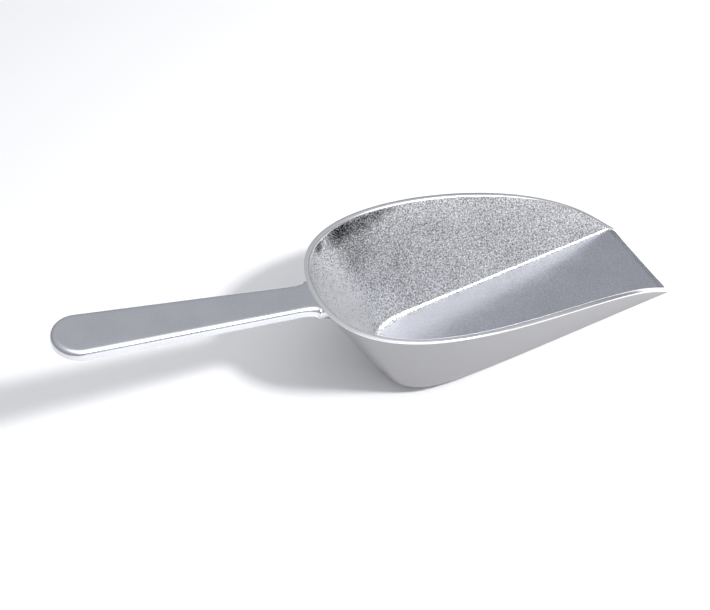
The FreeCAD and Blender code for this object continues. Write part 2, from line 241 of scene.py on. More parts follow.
class Bowl:
    """The bowl's rim and floor outlines, worked out from the sizes."""

    def __init__(self, sizes):
        self.sizes = sizes
        self.round_x = RIM_REAR_X + sizes.round_end
        self.floor_half = FLOOR_PLATE_HALF + sizes.side_seam
        self.floor_rear_run = sizes.round_end - sizes.floor_rear_inset
        bowl_length = FRONT_X - RIM_REAR_X
        corner_half = self.floor_half + sizes.side_lean * sizes.edge_height
        # Bezier controls of the rim, from the middle of the rear to the front corner.
        self.controls = [
            Vector((0, 0, sizes.rim_height)),
            Vector((0, 75.5 * MM, sizes.rim_height + sizes.rim_swell)),
            Vector((114.5 * MM, 37.0 * MM, 42.0 * MM)),
            Vector((133.0 * MM, 36.3 * MM, 24.3 * MM)),
            Vector((bowl_length, corner_half, sizes.edge_height)),
        ]
        self.u_round = self.u_where(lambda point: point.x < self.round_x)

    def rim_point(self, u):
        """Point of the rim's outer edge on the left: u = 0 at the rear, 1 at the front."""
        degree = len(self.controls) - 1
        total = Vector((RIM_REAR_X, 0, 0))
        for i, control in enumerate(self.controls):
            total += control * (math.comb(degree, i) * (1 - u) ** (degree - i) * u ** i)
        return total

    def u_where(self, is_short):
        """The rim parameter up to which is_short holds, by halving."""
        low, high = 0.0, 1.0
        for _ in range(HALVINGS):
            middle = (low + high) / 2
            if is_short(self.rim_point(middle)):
                low = middle
            else:
                high = middle
        return (low + high) / 2

    def floor_radius(self, direction):
        """Distance in plan from the round's centre to the floor's outer outline."""
        return round_radius(direction, self.floor_rear_run, self.floor_half, self.sizes.floor_bluntness)

    def seam_radius(self, direction):
        """Distance in plan from the round's centre to the floor plate's edge."""
        run = self.floor_rear_run - self.sizes.rear_seam
        return round_radius(direction, run, FLOOR_PLATE_HALF, self.sizes.seam_bluntness)

    def section(self, u, side=1):
        return Section(self, self.rim_point(abs(u)), side)

    def rear_sections(self, count):
        """Sections from the right-hand end of the rounded rear to its left-hand end."""
        steps = [self.u_round * i / count for i in range(-count, count + 1)]
        return [self.section(u, 1 if u >= 0 else -1) for u in steps]

    def side_sections(self, count, side):
        span = 1 - self.u_round
        return [self.section(self.u_round + span * i / count, side) for i in range(count + 1)]

    def depth(self, point):
        """How far a point behind the round's end lies inside the wall's outer face."""
        flat = Vector((self.round_x - point.x, abs(point.y)))
        angle = math.atan2(flat.y, flat.x)

        def is_short(rim):
            return math.atan2(rim.y, self.round_x - rim.x) < angle

        section = self.section(self.u_where(is_short), 1 if point.y >= 0 else -1)
        return section.depth(flat.length, point.z)


# ---- mesh helpers ------------------------------------------------------------------
MERGE_DISTANCE = 1e-6
SHORTEST_EDGE = 1e-7
SHARP_ANGLE = math.radians(24)


def arc(centre, radius, start, end, steps):
    """Points of an arc from angle start to angle end, both ends among them."""
    points = []
    for i in range(steps + 1):
        angle = start + (end - start) * i / steps
        points.append(centre + Vector((math.cos(angle), math.sin(angle))) * radius)
    return points


def straight(start, end, steps):
    """Points between start and end, both left out."""
    return [start.lerp(end, i / steps) for i in range(1, steps)]


def swept_mesh(name, rings, finish_of):
    """Closed mesh through rings of equally many points, capped at both ends.

    finish_of gives the material number of each strip between two ring points."""
    mesh = bmesh.new()
    rows = [[mesh.verts.new(point) for point in ring] for ring in rings]
    count = len(rings[0])
    for here, there in zip(rows, rows[1:]):
        for j in range(count):
            k = (j + 1) % count
            face = mesh.faces.new((here[j], here[k], there[k], there[j]))
            face.material_index = finish_of(j)
    mesh.faces.new(list(reversed(rows[0])))
    mesh.faces.new(rows[-1])
    bmesh.ops.remove_doubles(mesh, verts=mesh.verts, dist=MERGE_DISTANCE)
    bmesh.ops.dissolve_degenerate(mesh, edges=mesh.edges, dist=SHORTEST_EDGE)
    bmesh.ops.recalc_face_normals(mesh, faces=mesh.faces)
    data = bpy.data.meshes.new(name)
    mesh.to_mesh(data)
    mesh.free()
    return data


def add_piece(name, data, materials, node):
    """Shows a finished mesh in place of its CAD node."""
    piece = bpy.data.objects.new(name, data)
    bpy.context.scene.collection.objects.link(piece)
    for material in materials:
        data.materials.append(material)
    for face in data.polygons:
        face.use_smooth = True
    data.set_sharp_from_angle(angle=SHARP_ANGLE)
    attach(piece, BODY)
    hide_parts(node)
    return piece


# ---- walls and rim -----------------------------------------------------------------
HEEL_STEPS = 10
OUTER_STEPS = 24
INNER_STEPS = 24
FILLET_STEPS = 10
REAR_WALL_STEPS = 70
SIDE_WALL_STEPS = 110
CAST, OUTSIDE, FLOOR = 0, 1, 2
# The most of a low wall that a round may take, and the least inside height to fit one in.
ROUND_SHARE = 0.85
LEAST_ROOM = 0.2 * MM


def wall_ring(section, sizes):
    """The wall's section under the rim, from the seam's foot over the outside to the seam's top."""
    top = section.slant - section.rim_depth
    heel = min(section.heel, ROUND_SHARE * top / section.reach)
    rise = (section.floor_top - section.inner(0).y) / section.along.y
    room = max(top - rise, LEAST_ROOM)
    fillet = min(section.fillet, ROUND_SHARE * room / section.reach)
    corner = section.inner(rise)
    seam = section.seam_out
    heel_centre = Vector((section.floor_out - heel * section.reach, heel))
    fillet_centre = Vector((corner.x - fillet * section.reach, section.floor_top + fillet))
    points = [Vector((seam, 0))]
    points += arc(heel_centre, heel, -math.pi / 2, -section.lean, HEEL_STEPS)
    points += straight(points[-1], section.outer(top), OUTER_STEPS)
    points += [section.outer(top), section.inner(top)]
    inside = arc(fillet_centre, fillet, -section.lean, -math.pi / 2, FILLET_STEPS)
    points += straight(section.inner(top), inside[0], INNER_STEPS)
    points += inside
    points.append(Vector((seam, section.floor_top)))
    return [section.place(point) for point in points]


def wall_finish(strip):
    """Outside up to the rim seam, cast grain down to the fillet's foot, then floor."""
    rim_seam = 1 + HEEL_STEPS + OUTER_STEPS
    fillet_foot = rim_seam + 1 + INNER_STEPS + FILLET_STEPS
    if strip < rim_seam:
        return OUTSIDE
    if strip < fillet_foot:
        return CAST
    return FLOOR


ROUND_STEPS = 8
SKIRT_STEPS = 4
REAR_RIM_STEPS = 100
SIDE_RIM_STEPS = 160
POLISHED = 2
# The most of the rim's depth that its two rounds and the fall of its land may take.
OUTER_ROUND_SHARE = 0.2
INNER_ROUND_SHARE = 0.5
LAND_FALL_SHARE = 0.3


def rim_ring(section, sizes):
    """The polished rim's section: a land that falls towards the inside, with rounded edges."""
    low = section.slant - section.rim_depth
    outer_round = min(sizes.rim_outer_round, OUTER_ROUND_SHARE * section.rim_depth)
    inner_round = min(sizes.rim_inner_round, INNER_ROUND_SHARE * section.rim_depth)
    slant = min(sizes.rim_slant, math.atan2(LAND_FALL_SHARE * section.rim_depth, section.wall))
    outer_centre = section.outer(section.slant - outer_round) + section.inward * outer_round
    outward = -section.lean
    square = outward + math.pi / 2 + slant
    land_normal = Vector((math.cos(square), math.sin(square)))
    land = outer_centre + land_normal * outer_round
    foot = section.inner(0) - section.inward * inner_round
    height = (-inner_round - (foot - land).dot(land_normal)) / section.along.dot(land_normal)
    inner_centre = foot + section.along * height
    points = [section.outer(low)]
    points += straight(points[0], section.outer(section.slant - outer_round), SKIRT_STEPS)
    points += arc(outer_centre, outer_round, outward, square, ROUND_STEPS)
    points += arc(inner_centre, inner_round, square, outward + math.pi, ROUND_STEPS)
    points += straight(points[-1], section.inner(low), SKIRT_STEPS)
    points.append(section.inner(low))
    return [section.place(point) for point in points]


def rim_finish(strip):
    """Plain skirts below the polished land and rounds."""
    first = SKIRT_STEPS - 1
    last = first + 2 * ROUND_STEPS + 1
    if strip < first:
        return OUTSIDE
    if strip > last:
        return CAST
    return POLISHED


# ---- handle --------------------------------------------------------------------------
SHOULDER_STEPS = 10
LOWER_STEPS = 6
POCKET_STEPS = 4
GRIP_SIDE_STEPS = 4


class Handle:
    """The handle's own axes and outline: distance along it, across, and square to it."""

    def __init__(self, sizes):
        self.sizes = sizes
        rise = sizes.handle_rise
        self.origin = Vector((RIM_REAR_X, 0, sizes.rim_height))
        self.along = Vector((-math.cos(rise), 0, math.sin(rise)))
        self.square = Vector((math.sin(rise), 0, math.cos(rise)))
        lower = sizes.lower_round
        drop = (sizes.handle_thickness - lower) * math.sin(rise)
        self.run = lower + (RIM_REAR_X - HANDLE_END_X - lower - drop) / math.cos(rise)
        self.straight = self.run - sizes.handle_end_length
        self.taper = (sizes.handle_end_half - sizes.handle_root_half) / self.straight
        slope = math.atan2(sizes.floor_rear_inset, sizes.rim_height) + rise
        tangent = sizes.neck_round * math.tan(math.pi / 4 - slope / 2)
        self.round_start = tangent - sizes.handle_thickness * math.tan(slope)
        self.foot = self.round_start - tangent * (1 + math.sin(slope))

    def place(self, distance, across, up):
        return self.origin + self.along * distance + self.square * up + Vector((0, across, 0))

    def half(self, distance):
        return self.sizes.handle_root_half + self.taper * distance

    def edge_profile(self, pocket):
        """(inset, up) from the top's edge, over the shoulder and round to the underside."""
        s = self.sizes
        bottom = -s.handle_thickness
        shoulder_centre = Vector((s.shoulder, -s.shoulder))
        shoulder = arc(shoulder_centre, s.shoulder, math.pi / 2, math.pi, SHOULDER_STEPS)
        lower_centre = Vector((s.lower_round, bottom + s.lower_round))
        lower = arc(lower_centre, s.lower_round, math.pi, 1.5 * math.pi, LOWER_STEPS)
        lip = 0.5 * pocket
        pocket_edge = Vector((s.pocket_border, bottom))
        rounded = arc(pocket_edge + Vector((0, lip)), lip, -math.pi / 2, 0, POCKET_STEPS)
        inside_centre = pocket_edge + Vector((2 * lip, pocket - lip))
        inside = arc(inside_centre, lip, math.pi, math.pi / 2, POCKET_STEPS)
        return shoulder + straight(shoulder[-1], lower[0], GRIP_SIDE_STEPS) + lower + rounded + inside


GRIP_STEPS = 90
END_STEPS = 40
TOP_COLUMNS = 5
POCKET_FADE = 3 * MM
LEAST_POCKET = 0.001 * MM


def grip_outline(handle):
    """(distance, across, inward normal) from the grip's root to the middle of its end."""
    s = handle.sizes
    outline = []
    side_normal = Vector((handle.taper, -1)).normalized()
    for i in range(GRIP_STEPS):
        distance = s.neck_length + (handle.straight - s.neck_length) * i / GRIP_STEPS
        outline.append((distance, handle.half(distance), side_normal))
    for i in range(END_STEPS + 1):
        angle = math.pi / 2 * i / END_STEPS
        distance = handle.straight + s.handle_end_length * math.sin(angle)
        across = s.handle_end_half * math.cos(angle)
        inward = Vector((-math.sin(angle) / s.handle_end_length, -math.cos(angle) / s.handle_end_half))
        outline.append((distance, across, inward.normalized()))
    return outline


def mirrored_ring(half_points, place):
    """Whole ring of (distance, across, up) points from its left half, from top edge to underside.

    The flat top and the underside are crossed in TOP_COLUMNS steps."""
    top = half_points[0]
    under = half_points[-1]
    ring = []
    for i in range(1, 2 * TOP_COLUMNS):
        ring.append((top[0], -top[1] + top[1] * i / TOP_COLUMNS, top[2]))
    ring += half_points
    for i in range(1, 2 * TOP_COLUMNS):
        ring.append((under[0], under[1] - under[1] * i / TOP_COLUMNS, under[2]))
    ring += [(d, -across, up) for d, across, up in reversed(half_points)]
    return [place(*point) for point in ring]


def grip_rings(handle):
    s = handle.sizes
    rings = []
    for distance, across, inward in grip_outline(handle):
        into_grip = distance - s.neck_length - s.pocket_border
        pocket = s.pocket_depth * smooth_step(into_grip / POCKET_FADE)
        half_ring = []
        for point in handle.edge_profile(max(pocket, LEAST_POCKET)):
            shift = inward * point.x
            half_ring.append((distance + shift.x, max(across + shift.y, 0.0), point.y))
        rings.append(mirrored_ring(half_ring, handle.place))
    return rings


def flare(distance):
    """Concave quarter round: 1 at the face it runs into, 0 from one radius away."""
    nearness = min(max(1 - distance, 0.0), 1.0)
    return 1 - math.sqrt(1 - nearness ** 2)


HANDLE, UNDER_HANDLE = 0, 1
NECK_STEPS = 60
NECK_SIDE_STEPS = 8
NECK_HALVINGS = 18
# Above 1, this crowds the neck's rings towards the wall.
NECK_CROWDING = 1.4
# The neck's foot runs this far into the wall and its root this far into the grip. The search for
# where each line of the neck ends starts at SEARCH_START behind the rim.
FOOT_EMBED = 1.0 * MM
ROOT_EMBED = 0.5 * MM
SEARCH_START = 4 * MM
# Share by which the neck's first ring shrinks, so that it hides inside the grip.
NECK_TUCK = 0.02
UNDERSIDE_MARGIN = 0.3 * MM


def neck_half_ring(handle, distance):
    """Left half of the neck's section, from the top's edge to the middle of its foot."""
    s = handle.sizes
    half = handle.half(distance) + s.neck_flare * flare(distance / s.neck_flare_run)
    into_round = min(max(handle.round_start - distance, 0.0), s.neck_round)
    deeper = s.neck_round - math.sqrt(s.neck_round ** 2 - into_round ** 2)
    bottom = -s.handle_thickness - deeper
    draw_in = s.foot_taper * deeper
    shoulder = arc(Vector((half - s.shoulder, -s.shoulder)), s.shoulder, math.pi / 2, 0, SHOULDER_STEPS)
    foot_centre = Vector((half - s.lower_round - draw_in, bottom + s.lower_round))
    lower = arc(foot_centre, s.lower_round, 0, -math.pi / 2, LOWER_STEPS)
    points = shoulder + straight(shoulder[-1], lower[0], NECK_SIDE_STEPS) + lower
    return [(distance, point.x, point.y) for point in points]


def neck_rings(handle, bowl):
    """Rings from the grip to inside the wall; each line of points stops at the same depth."""
    def ring_at(distance):
        return mirrored_ring(neck_half_ring(handle, distance), handle.place)

    start = handle.sizes.neck_length
    ends = []
    for j in range(len(ring_at(start))):
        low, high = handle.foot - FOOT_EMBED * 2, SEARCH_START
        for _ in range(NECK_HALVINGS):
            middle = (low + high) / 2
            if bowl.depth(ring_at(middle)[j]) > FOOT_EMBED:
                low = middle
            else:
                high = middle
        ends.append(high)
    middle = handle.place(start, 0.0, -handle.sizes.handle_thickness / 2)
    rings = [[point.lerp(middle, NECK_TUCK) + handle.along * ROOT_EMBED for point in ring_at(start)]]
    for i in range(NECK_STEPS + 1):
        share = 1 - (1 - i / NECK_STEPS) ** NECK_CROWDING
        rings.append([ring_at(start + (end - start) * share)[j] for j, end in enumerate(ends)])
    return rings


# ---- geometry nodes for the floor plate ----------------------------------------------
def wire(tree, *pairs):
    for source, target in pairs:
        tree.links.new(source, target)


def math_node(tree, operation, *values):
    node = tree.nodes.new("ShaderNodeMath")
    node.operation = operation
    for socket, value in zip(node.inputs, values):
        if isinstance(value, bpy.types.NodeSocket):
            tree.links.new(value, socket)
        else:
            socket.default_value = value
    return node.outputs[0]


def floor_plate_tree():
    """Plate with straight sides and a blunt rounded rear: its outline follows a superellipse."""
    tree = bpy.data.node_groups.new("Floor plate", "GeometryNodeTree")
    face = tree.interface
    face.new_socket("Geometry", in_out="INPUT", socket_type="NodeSocketGeometry")
    for name in ("Front", "Round Centre", "Rear Run", "Half Width", "Bluntness", "Thickness"):
        face.new_socket(name, in_out="INPUT", socket_type="NodeSocketFloat")
    face.new_socket("Points", in_out="INPUT", socket_type="NodeSocketInt")
    face.new_socket("Material", in_out="INPUT", socket_type="NodeSocketMaterial")
    face.new_socket("Geometry", in_out="OUTPUT", socket_type="NodeSocketGeometry")
    start = tree.nodes.new("NodeGroupInput")
    end = tree.nodes.new("NodeGroupOutput")
    put = start.outputs
    calc = partial(math_node, tree)

    line = tree.nodes.new("GeometryNodeMeshLine")
    index = tree.nodes.new("GeometryNodeInputIndex").outputs[0]
    share = calc("DIVIDE", index, calc("SUBTRACT", put["Points"], 1.0))
    angle = calc("MULTIPLY", calc("SUBTRACT", 1.5, share), math.pi)
    cosine = calc("COSINE", angle)
    sine = calc("SINE", angle)
    power = put["Bluntness"]
    along = calc("DIVIDE", calc("ABSOLUTE", cosine), put["Rear Run"])
    across = calc("DIVIDE", calc("ABSOLUTE", sine), put["Half Width"])
    total = calc("ADD", calc("POWER", along, power), calc("POWER", across, power))
    radius = calc("POWER", total, calc("DIVIDE", -1.0, power))
    x_round = calc("ADD", put["Round Centre"], calc("MULTIPLY", radius, cosine))
    from_middle = calc("ABSOLUTE", calc("SUBTRACT", share, 0.5))
    is_end = calc("GREATER_THAN", from_middle, calc("SUBTRACT", 0.5, calc("DIVIDE", 0.5, put["Points"])))
    keep = calc("MULTIPLY", x_round, calc("SUBTRACT", 1.0, is_end))
    x_place = calc("ADD", keep, calc("MULTIPLY", put["Front"], is_end))
    place = tree.nodes.new("ShaderNodeCombineXYZ")
    position = tree.nodes.new("GeometryNodeSetPosition")
    fill = tree.nodes.new("GeometryNodeFillCurve")
    fill.mode = "NGONS"
    curve = tree.nodes.new("GeometryNodeMeshToCurve")
    close = tree.nodes.new("GeometryNodeSetSplineCyclic")
    close.inputs["Cyclic"].default_value = True
    extrude = tree.nodes.new("GeometryNodeExtrudeMesh")
    extrude.inputs["Individual"].default_value = False
    flip = tree.nodes.new("GeometryNodeFlipFaces")
    join = tree.nodes.new("GeometryNodeJoinGeometry")
    merge = tree.nodes.new("GeometryNodeMergeByDistance")
    merge.inputs["Distance"].default_value = MERGE_DISTANCE
    realize = tree.nodes.new("GeometryNodeRealizeInstances")
    paint = tree.nodes.new("GeometryNodeSetMaterial")
    wire(
        tree,
        (put["Points"], line.inputs["Count"]),
        (x_place, place.inputs["X"]),
        (calc("MULTIPLY", radius, sine), place.inputs["Y"]),
        (line.outputs[0], position.inputs["Geometry"]),
        (place.outputs[0], position.inputs["Position"]),
        (position.outputs[0], curve.inputs["Mesh"]),
        (curve.outputs[0], close.inputs["Geometry"]),
        (close.outputs[0], fill.inputs["Curve"]),
        (fill.outputs[0], extrude.inputs["Mesh"]),
        (put["Thickness"], extrude.inputs["Offset Scale"]),
        (fill.outputs[0], flip.inputs["Mesh"]),
        (extrude.outputs["Mesh"], join.inputs[0]),
        (flip.outputs[0], join.inputs[0]),
        (join.outputs[0], merge.inputs[0]),
        (merge.outputs[0], realize.inputs[0]),
        (realize.outputs[0], paint.inputs["Geometry"]),
        (put["Material"], paint.inputs["Material"]),
        (paint.outputs[0], end.inputs[0]),
    )
    return tree


def run_tree(name, tree, values):
    """A plain mesh from a geometry tree run on an empty object with these inputs."""
    source = bpy.data.objects.new(name + "_source", bpy.data.meshes.new(name + "_source"))
    bpy.context.scene.collection.objects.link(source)
    modifier = source.modifiers.new(name, "NODES")
    modifier.node_group = tree
    for item in tree.interface.items_tree:
        if item.in_out == "INPUT" and item.name in values:
            modifier[item.identifier] = values[item.name]
    source.update_tag()
    evaluated = source.evaluated_get(bpy.context.evaluated_depsgraph_get())
    data = bpy.data.meshes.new_from_object(evaluated)
    source.modifiers.clear()
    bpy.data.objects.remove(source)
    data.name = name
    data.materials.clear()
    return data


# ---- shader groups ---------------------------------------------------------------------
def shader_group(name, inputs, outputs):
    """New shader group with float or vector sockets; gives the tree, its inputs and outputs."""
    tree = bpy.data.node_groups.new(name, "ShaderNodeTree")
    for label, kind, default in inputs:
        socket = tree.interface.new_socket(label, in_out="INPUT", socket_type="NodeSocket" + kind)
        if default is not None:
            socket.default_value = default
    for label, kind in outputs:
        tree.interface.new_socket(label, in_out="OUTPUT", socket_type="NodeSocket" + kind)
    return tree, tree.nodes.new("NodeGroupInput").outputs, tree.nodes.new("NodeGroupOutput").inputs


def noise_node(tree, vector, scale, detail, roughness=0.5):
    node = tree.nodes.new("ShaderNodeTexNoise")
    node.inputs["Detail"].default_value = detail
    node.inputs["Roughness"].default_value = roughness
    wire(tree, (vector, node.inputs["Vector"]))
    if isinstance(scale, bpy.types.NodeSocket):
        wire(tree, (scale, node.inputs["Scale"]))
    else:
        node.inputs["Scale"].default_value = scale
    return node.outputs[0]


def between(tree, value, low, high, out_low=0.0, out_high=1.0):
    node = tree.nodes.new("ShaderNodeMapRange")
    wire(tree, (value, node.inputs["Value"]))
    for label, number in (("From Min", low), ("From Max", high), ("To Min", out_low), ("To Max", out_high)):
        if isinstance(number, bpy.types.NodeSocket):
            wire(tree, (number, node.inputs[label]))
        else:
            node.inputs[label].default_value = number
    return node.outputs[0]


# Grain: its mean height, and how its parts are mixed.
MEAN_HEIGHT = 0.49
NOISE_SHARE, CELL_SHARE = 0.6, 0.4
COARSE_SHARE, FINE_SHARE = 0.8, 0.2
FINE_SCALE = 3.1
# Painted shade and light: how far the broken edge reaches, and what the high specks keep.
EDGE_SWING = 0.5
SHADE_FULL, SHADE_GONE = 0.75, 1.55
SPECK_LOW, SPECK_HIGH, SPECK_SHADE = 0.02, 0.12, 0.55
# Scratches: each direction's turn and stretch, and the noise where a line shows.
SCRATCH_RUNS = ((0.45, 26.0), (-0.9, 19.0))
SCRATCH_FROM, SCRATCH_TO = 0.68, 0.76


def grain_group():
    """Sand-cast or blasted grain: rounded pits and bumps of one size over a finer tooth."""
    tree, put, out = shader_group(
        "Metal grain",
        [("Vector", "Vector", None), ("Size", "Float", MM), ("Contrast", "Float", 1.0)],
        [("Height", "Float"), ("Tone", "Float")],
    )
    calc = partial(math_node, tree)
    scale = calc("DIVIDE", 1.0, put["Size"])
    coarse = noise_node(tree, put["Vector"], scale, 2.0, 0.55)
    cells = tree.nodes.new("ShaderNodeTexVoronoi")
    cells.feature = "SMOOTH_F1"
    cells.inputs["Smoothness"].default_value = 0.6
    wire(tree, (put["Vector"], cells.inputs["Vector"]), (scale, cells.inputs["Scale"]))
    fine = noise_node(tree, put["Vector"], calc("MULTIPLY", scale, FINE_SCALE), 2.0)
    sharp = between(tree, coarse, 0.3, 0.7)
    cell_height = calc("MULTIPLY", cells.outputs["Distance"], CELL_SHARE)
    bumps = calc("ADD", calc("MULTIPLY", sharp, NOISE_SHARE), cell_height)
    height = calc("ADD", calc("MULTIPLY", bumps, COARSE_SHARE), calc("MULTIPLY", fine, FINE_SHARE))
    swing = calc("MULTIPLY", calc("SUBTRACT", height, MEAN_HEIGHT), put["Contrast"])
    wire(tree, (swing, out["Tone"]), (height, out["Height"]))
    return tree


def painted_shade_group():
    """Mask for patches of painted shade and painted light: it fades outwards from a centre, broken into
    specks by the grain.
    """
    tree, put, out = shader_group(
        "Painted shade",
        [("Vector", "Vector", None), ("Centre", "Vector", None), ("Reach", "Vector", None),
         ("Grain", "Float", MM), ("Height", "Float", MEAN_HEIGHT)],
        [("Shade", "Float")],
    )
    calc = partial(math_node, tree)
    offset = tree.nodes.new("ShaderNodeVectorMath")
    offset.operation = "SUBTRACT"
    share = tree.nodes.new("ShaderNodeVectorMath")
    share.operation = "DIVIDE"
    far = tree.nodes.new("ShaderNodeVectorMath")
    far.operation = "LENGTH"
    wire(
        tree,
        (put["Vector"], offset.inputs[0]),
        (put["Centre"], offset.inputs[1]),
        (offset.outputs[0], share.inputs[0]),
        (put["Reach"], share.inputs[1]),
        (share.outputs[0], far.inputs[0]),
    )
    edge = noise_node(tree, put["Vector"], calc("DIVIDE", 0.25, put["Grain"]), 3.0, 0.6)
    distance = calc("ADD", far.outputs["Value"], calc("MULTIPLY", edge, EDGE_SWING))
    soft = between(tree, distance, SHADE_FULL, SHADE_GONE, 1.0, 0.0)
    low, high = MEAN_HEIGHT + SPECK_LOW, MEAN_HEIGHT + SPECK_HIGH
    specks = between(tree, put["Height"], low, high, 1.0, SPECK_SHADE)
    wire(tree, (calc("MULTIPLY", soft, specks), out["Shade"]))
    return tree


def handling_group():
    """Use marks: soft cloudy rubbing, and thin scratches in two directions."""
    tree, put, out = shader_group(
        "Handling marks",
        [("Vector", "Vector", None), ("Spacing", "Float", 7 * MM)],
        [("Rubbed", "Float"), ("Scratches", "Float")],
    )
    calc = partial(math_node, tree)
    scale = calc("DIVIDE", 1.0, put["Spacing"])
    clouds = noise_node(tree, put["Vector"], calc("MULTIPLY", scale, 0.45), 3.0, 0.55)
    lines = []
    for turn, stretch in SCRATCH_RUNS:
        mapping = tree.nodes.new("ShaderNodeMapping")
        mapping.inputs["Rotation"].default_value = (0.2, 0.3, turn)
        mapping.inputs["Scale"].default_value = (1.0, stretch, stretch)
        wire(tree, (put["Vector"], mapping.inputs["Vector"]))
        streak = noise_node(tree, mapping.outputs[0], calc("MULTIPLY", scale, 0.5), 1.0)
        lines.append(between(tree, streak, SCRATCH_FROM, SCRATCH_TO))
    wire(tree, (between(tree, clouds, 0.35, 0.65), out["Rubbed"]),
         (calc("MAXIMUM", lines[0], lines[1]), out["Scratches"]))
    return tree


# ---- materials ---------------------------------------------------------------------------
# How rubbing and scratches change the tone, and scratches the roughness and the height.
UNTOUCHED_TONE, RUBBED_TONE = 0.98, 1.02
SCRATCH_TONE = 0.12
SCRATCH_GLOSS = 0.08
SCRATCH_DEPTH = 0.3


def metal(name, groups, colour, grain, contrast, roughness, bump, marks, spacing, shades=()):
    """Aluminium with grain, cloudy rubbing and fine scratches.

    roughness is (untouched, rubbed), bump the grain's height and marks how much scratches
    show. The patches list holds painted shade as (centre, reach, strength); below 0 a patch paints light."""
    material = bpy.data.materials.new(name)
    material.use_nodes = True
    tree = material.node_tree
    calc = partial(math_node, tree)
    shader = tree.nodes["Principled BSDF"]
    shader.inputs["Metallic"].default_value = 1.0
    place = tree.nodes.new("ShaderNodeTexCoord").outputs["Object"]
    grain_node = tree.nodes.new("ShaderNodeGroup")
    grain_node.node_tree = groups["grain"]
    grain_node.inputs["Size"].default_value = grain
    grain_node.inputs["Contrast"].default_value = contrast
    marks_node = tree.nodes.new("ShaderNodeGroup")
    marks_node.node_tree = groups["handling"]
    marks_node.inputs["Spacing"].default_value = spacing
    wire(tree, (place, grain_node.inputs["Vector"]), (place, marks_node.inputs["Vector"]))
    rubbed = marks_node.outputs["Rubbed"]
    scratches = calc("MULTIPLY", marks_node.outputs["Scratches"], marks)
    tone = calc("ADD", 1.0, grain_node.outputs["Tone"])
    tone = calc("MULTIPLY", tone, between(tree, rubbed, 0.0, 1.0, UNTOUCHED_TONE, RUBBED_TONE))
    tone = calc("ADD", tone, calc("MULTIPLY", scratches, SCRATCH_TONE))
    # Patches of painted shade darken the tone; a negative strength paints light.
    for centre, reach, strength in shades:
        shade_node = tree.nodes.new("ShaderNodeGroup")
        shade_node.node_tree = groups["shade"]
        shade_node.inputs["Centre"].default_value = centre
        shade_node.inputs["Reach"].default_value = reach
        shade_node.inputs["Grain"].default_value = grain
        wire(tree, (place, shade_node.inputs["Vector"]))
        wire(tree, (grain_node.outputs["Height"], shade_node.inputs["Height"]))
        kept = calc("SUBTRACT", 1.0, calc("MULTIPLY", shade_node.outputs[0], strength))
        tone = calc("MULTIPLY", tone, kept)
    tint = tree.nodes.new("ShaderNodeVectorMath")
    tint.operation = "SCALE"
    tint.inputs[0].default_value = colour
    rough = between(tree, rubbed, 0.0, 1.0, roughness[0], roughness[1])
    rough = calc("SUBTRACT", rough, calc("MULTIPLY", scratches, SCRATCH_GLOSS))
    relief = tree.nodes.new("ShaderNodeBump")
    relief.inputs["Strength"].default_value = 1.0
    relief.inputs["Distance"].default_value = bump
    scratch_depth = calc("MULTIPLY", scratches, SCRATCH_DEPTH)
    height = calc("SUBTRACT", grain_node.outputs["Height"], scratch_depth)
    wire(
        tree,
        (tone, tint.inputs["Scale"]),
        (tint.outputs[0], shader.inputs["Base Color"]),
        (rough, shader.inputs["Roughness"]),
        (height, relief.inputs["Height"]),
        (relief.outputs[0], shader.inputs["Normal"]),
    )
    return material


# Painted shade and painted light inside the bowl as centre, reach and strength: four patches
# of painted shade under the rim at the rear left, and two of painted light low on the rear wall.
PAINTED_SHADE_AND_LIGHT_PATCHES = (
    (Vector((-2.5, 35.5, 54.0)) * MM, Vector((7.5, 7.5, 5.5)) * MM, 0.97),
    (Vector((12.0, 39.5, 51.0)) * MM, Vector((19.0, 8.0, 5.0)) * MM, 0.72),
    (Vector((-14.0, 28.5, 57.0)) * MM, Vector((3.5, 3.5, 3.0)) * MM, 0.95),
    (Vector((4.0, 34.0, 44.0)) * MM, Vector((10.0, 10.0, 12.0)) * MM, 0.32),
    (Vector((-5.0, 18.0, 20.0)) * MM, Vector((11.0, 12.0, 20.0)) * MM, -0.6),
    (Vector((-16.0, 6.0, 30.0)) * MM, Vector((16.0, 28.0, 30.0)) * MM, -0.85),
)


def make_metals(finish):
    groups = {"grain": grain_group(), "handling": handling_group(), "shade": painted_shade_group()}
    make = partial(metal, groups=groups, spacing=finish.scratch_spacing)
    make_satin = partial(make, grain=finish.satin_grain)
    return {
        # The blasted inside carries the patches of painted shade and painted light.
        "cast": make("Blasted cast inside", colour=finish.cast_colour, grain=finish.cast_grain,
                     contrast=3.6, roughness=(0.38, 0.42), bump=0.10 * MM, marks=0.0,
                     shades=PAINTED_SHADE_AND_LIGHT_PATCHES),
        "outside": make_satin("Satin outside", colour=finish.outside_colour, contrast=0.12,
                              roughness=(0.38, 0.42), bump=0.006 * MM, marks=0.2),
        "floor": make_satin("Satin floor", colour=finish.floor_colour, contrast=0.6,
                            roughness=(0.20, 0.24), bump=0.010 * MM, marks=0.0),
        "rim": make_satin("Polished rim", colour=finish.rim_colour, contrast=0.05,
                          roughness=(0.18, 0.24), bump=0.002 * MM, marks=0.0),
        "handle": make_satin("Satin handle", colour=finish.handle_colour, contrast=0.14,
                             roughness=(0.26, 0.30), bump=0.005 * MM, marks=0.0),
    }


METALS = {}


# ---- operators -------------------------------------------------------------------------
class ScoopOperator:
    bl_options = {"REGISTER"}

    def execute(self, context):
        if not METALS:
            METALS.update(make_metals(context.scene.scoop_finish))
        self.build(context.scene)
        return {"FINISHED"}


PLATE_POINTS = 97
LIP_STEPS = 8
